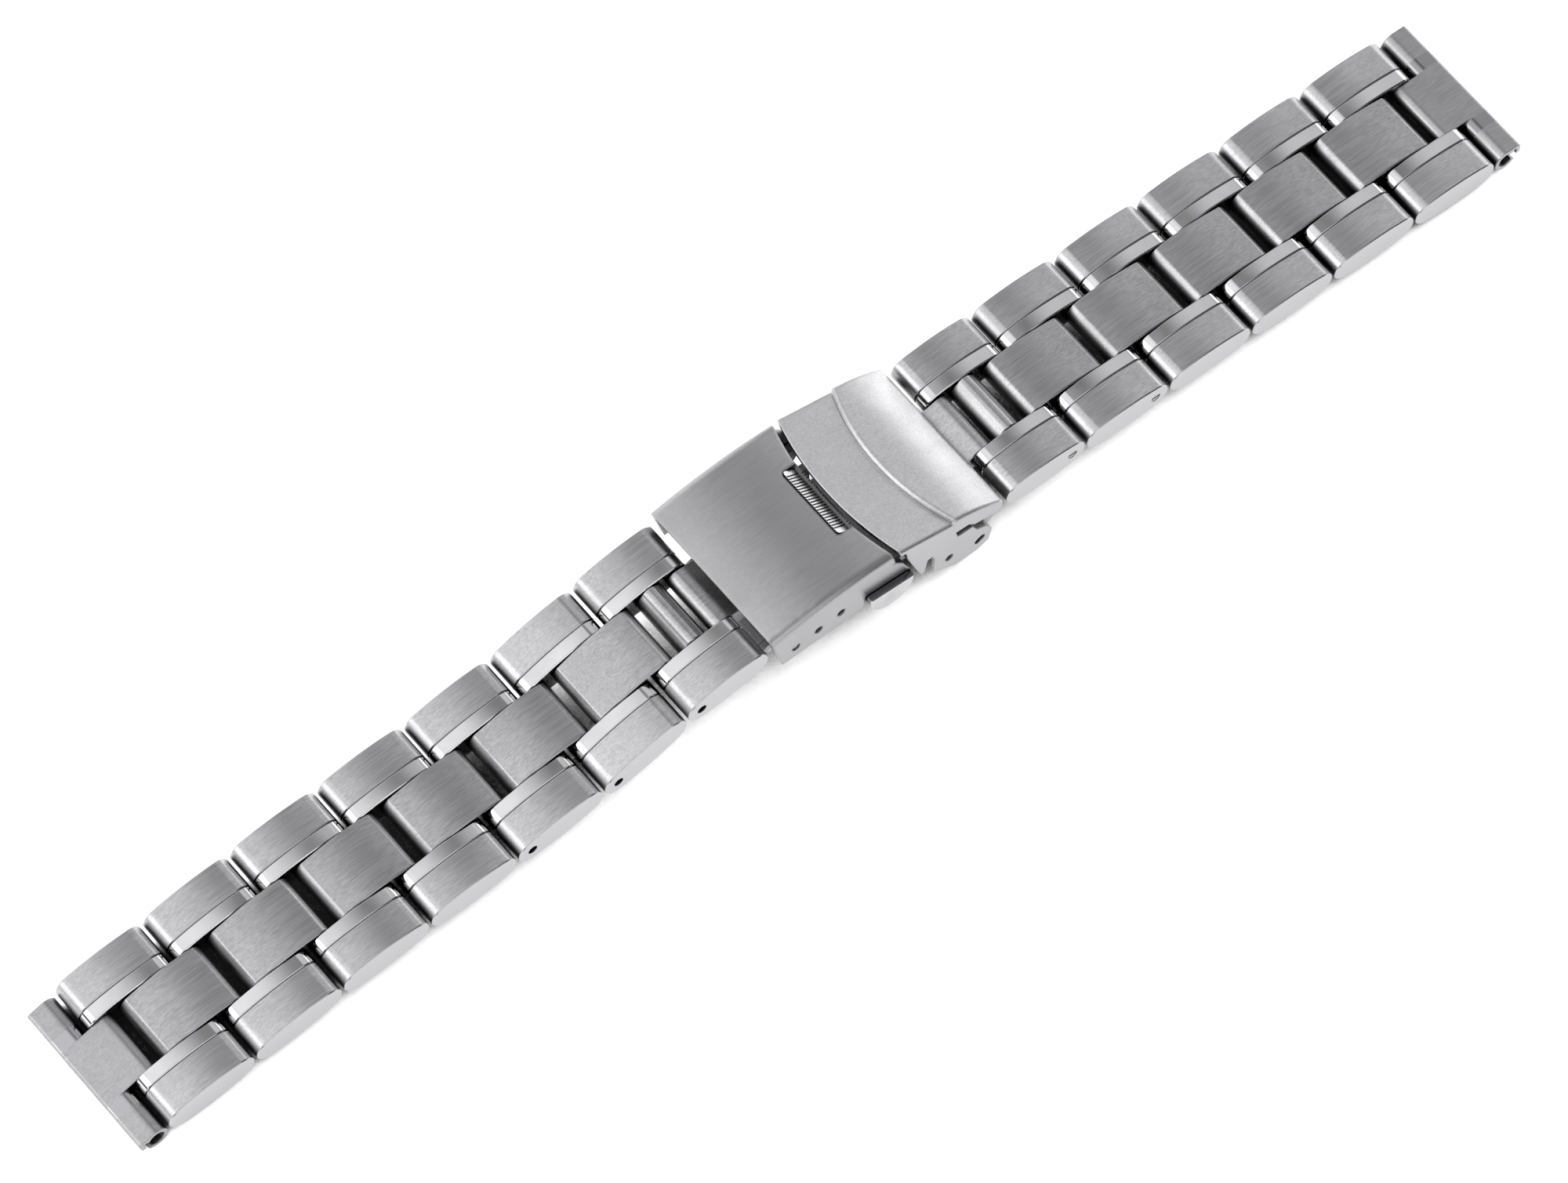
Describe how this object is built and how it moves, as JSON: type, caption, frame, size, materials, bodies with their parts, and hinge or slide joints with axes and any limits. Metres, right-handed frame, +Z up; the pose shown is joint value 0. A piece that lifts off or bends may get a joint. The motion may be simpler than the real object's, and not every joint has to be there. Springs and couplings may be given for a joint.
{
  "type": "link watch bracelet",
  "caption": "Steel link watch bracelet with straight spring-bar ends and a fold-over clasp with push buttons, ribbed grip and safety lever.",
  "frame": {"origin": "on the table, under the middle of the bracelet's box", "axes": "+X along the band from the long half to the short half, -Y the side with the removable pins, +Z up through the outer face"},
  "size_m": [0.192, 0.0228, 0.0154],
  "materials": {
    "brushed_outer_links": "fine brushing along the band, polished outer sides",
    "polished_strips": "mirror polish",
    "brushed_centre_links": "fine brushing along the band",
    "brushed_connectors": "satin",
    "link_pins": "turned",
    "brushed_end_pieces": "brushed sheet",
    "turned_pins": "turned and polished",
    "brushed_cover": "brushed along the band, polished rims",
    "ribbed_grip": "milled ribs",
    "polished_buttons": "polished",
    "spring_wire": "drawn wire",
    "brushed_lever": "brushed along the band, polished cheeks",
    "blade_steel": "tumbled satin"
  },
  "bodies": {
    "lower_blade": {"lower_blade": "blade_steel", "lever_pin": "turned_pins", "spring_bar_right": "turned_pins"},
    "middle_blade": {"middle_blade": "blade_steel", "blade_hinge_pins": "turned_pins"},
    "clasp_cover": {"clasp_cover": "brushed_cover", "button_carrier": "ribbed_grip", "button_springs": "spring_wire", "spring_bar_left": "turned_pins"},
    "safety_lever": {"safety_lever": "brushed_lever"},
    "push_button_near": {"push_button_near": "polished_buttons"},
    "push_button_far": {"push_button_far": "polished_buttons"},
    "connector_left": {"connector_left": "brushed_connectors"},
    "connector_right": {"connector_right": "brushed_connectors"},
    "link_01": {"outer_links_01": "brushed_outer_links", "polished_strips_01": "polished_strips", "centre_link_01": "brushed_centre_links"},
    "link_02": {"outer_links_02": "brushed_outer_links", "polished_strips_02": "polished_strips", "centre_link_02": "brushed_centre_links"},
    "link_03": {"outer_links_03": "brushed_outer_links", "polished_strips_03": "polished_strips", "centre_link_03": "brushed_centre_links"},
    "link_04": {"outer_links_04": "brushed_outer_links", "polished_strips_04": "polished_strips", "centre_link_04": "brushed_centre_links"},
    "link_05": {"outer_links_05": "brushed_outer_links", "polished_strips_05": "polished_strips", "centre_link_05": "brushed_centre_links", "removable_pin_05": "link_pins"},
    "link_06": {"outer_links_06": "brushed_outer_links", "polished_strips_06": "polished_strips", "centre_link_06": "brushed_centre_links", "removable_pin_06": "link_pins"},
    "link_07": {"outer_links_07": "brushed_outer_links", "polished_strips_07": "polished_strips", "centre_link_07": "brushed_centre_links", "removable_pin_07": "link_pins"},
    "link_08": {"outer_links_08": "brushed_outer_links", "polished_strips_08": "polished_strips", "centre_link_08": "brushed_centre_links", "removable_pin_08": "link_pins"},
    "link_09": {"outer_links_09": "brushed_outer_links", "polished_strips_09": "polished_strips", "centre_link_09": "brushed_centre_links", "removable_pin_09": "link_pins"},
    "link_10": {"outer_links_10": "brushed_outer_links", "polished_strips_10": "polished_strips", "centre_link_10": "brushed_centre_links"},
    "link_11": {"outer_links_11": "brushed_outer_links", "polished_strips_11": "polished_strips", "centre_link_11": "brushed_centre_links"},
    "link_12": {"outer_links_12": "brushed_outer_links", "polished_strips_12": "polished_strips", "centre_link_12": "brushed_centre_links"},
    "link_13": {"outer_links_13": "brushed_outer_links", "polished_strips_13": "polished_strips", "centre_link_13": "brushed_centre_links"},
    "end_piece_left": {"end_piece_left": "brushed_end_pieces"},
    "end_piece_right": {"end_piece_right": "brushed_end_pieces"}
  },
  "joints": [
    {"name": "clasp_fold", "type": "hinge", "parent": "lower_blade", "child": "middle_blade", "pos_m": [-0.0081, 0, 0.0046], "axis": [0, -1, 0], "range_deg": [0, 165]},
    {"name": "cover_hinge", "type": "hinge", "parent": "middle_blade", "child": "clasp_cover", "pos_m": [0.0048, 0, 0.0081], "axis": [0, 1, 0], "range_deg": [0, 165]},
    {"name": "safety_lever_hinge", "type": "hinge", "parent": "lower_blade", "child": "safety_lever", "pos_m": [0.0201, 0, 0.0086], "axis": [0, 1, 0], "range_deg": [0, 60]},
    {"name": "push_button_near_travel", "type": "slide", "parent": "clasp_cover", "child": "push_button_near", "axis": [0, 1, 0], "range_m": [0, 0.001], "stiffness_N_per_m": 400, "springref_m": -0.001},
    {"name": "push_button_far_travel", "type": "slide", "parent": "clasp_cover", "child": "push_button_far", "axis": [0, -1, 0], "range_m": [0, 0.001], "stiffness_N_per_m": 400, "springref_m": -0.001},
    {"name": "connector_left_hinge", "type": "hinge", "parent": "clasp_cover", "child": "connector_left", "pos_m": [-0.0076, 0, 0.0102], "axis": [0, -1, 0], "range_deg": [-6, 18]},
    {"name": "link_07_hinge", "type": "hinge", "parent": "connector_left", "child": "link_07", "pos_m": [-0.01252, 0, 0.01111], "axis": [0, -1, 0], "range_deg": [-6, 18]},
    {"name": "link_06_hinge", "type": "hinge", "parent": "link_07", "child": "link_06", "pos_m": [-0.02007, 0, 0.01023], "axis": [0, -1, 0], "range_deg": [-6, 18]},
    {"name": "link_05_hinge", "type": "hinge", "parent": "link_06", "child": "link_05", "pos_m": [-0.03149, 0, 0.00726], "axis": [0, -1, 0], "range_deg": [-6, 18]},
    {"name": "link_04_hinge", "type": "hinge", "parent": "link_05", "child": "link_04", "pos_m": [-0.04321, 0, 0.00594], "axis": [0, -1, 0], "range_deg": [-6, 18]},
    {"name": "link_03_hinge", "type": "hinge", "parent": "link_04", "child": "link_03", "pos_m": [-0.05501, 0, 0.00559], "axis": [0, -1, 0], "range_deg": [-6, 18]},
    {"name": "link_02_hinge", "type": "hinge", "parent": "link_03", "child": "link_02", "pos_m": [-0.0668, 0, 0.0052], "axis": [0, -1, 0], "range_deg": [-6, 18]},
    {"name": "link_01_hinge", "type": "hinge", "parent": "link_02", "child": "link_01", "pos_m": [-0.07853, 0, 0.00391], "axis": [0, -1, 0], "range_deg": [-6, 18]},
    {"name": "end_piece_left_hinge", "type": "hinge", "parent": "link_01", "child": "end_piece_left", "pos_m": [-0.09029, 0, 0.0029], "axis": [0, -1, 0], "range_deg": [-6, 18]},
    {"name": "connector_right_hinge", "type": "hinge", "parent": "lower_blade", "child": "connector_right", "pos_m": [0.02, 0, 0.0064], "axis": [0, 1, 0], "range_deg": [-6, 18]},
    {"name": "link_08_hinge", "type": "hinge", "parent": "connector_right", "child": "link_08", "pos_m": [0.0238, 0, 0.00756], "axis": [0, 1, 0], "range_deg": [-6, 18]},
    {"name": "link_09_hinge", "type": "hinge", "parent": "link_08", "child": "link_09", "pos_m": [0.03139, 0, 0.00724], "axis": [0, 1, 0], "range_deg": [-6, 18]},
    {"name": "link_10_hinge", "type": "hinge", "parent": "link_09", "child": "link_10", "pos_m": [0.04317, 0, 0.00649], "axis": [0, 1, 0], "range_deg": [-6, 18]},
    {"name": "link_11_hinge", "type": "hinge", "parent": "link_10", "child": "link_11", "pos_m": [0.05494, 0, 0.00571], "axis": [0, 1, 0], "range_deg": [-6, 18]},
    {"name": "link_12_hinge", "type": "hinge", "parent": "link_11", "child": "link_12", "pos_m": [0.0667, 0, 0.00477], "axis": [0, 1, 0], "range_deg": [-6, 18]},
    {"name": "link_13_hinge", "type": "hinge", "parent": "link_12", "child": "link_13", "pos_m": [0.07848, 0, 0.00401], "axis": [0, 1, 0], "range_deg": [-6, 18]},
    {"name": "end_piece_right_hinge", "type": "hinge", "parent": "link_13", "child": "end_piece_right", "pos_m": [0.09023, 0, 0.0029], "axis": [0, 1, 0], "range_deg": [-6, 18]}
  ],
  "couplings": [
    {"joint": "cover_hinge", "follows": "clasp_fold", "ratio": 1},
    {"joint": "safety_lever_hinge", "follows": "clasp_fold", "ratio": 0.33}
  ]
}
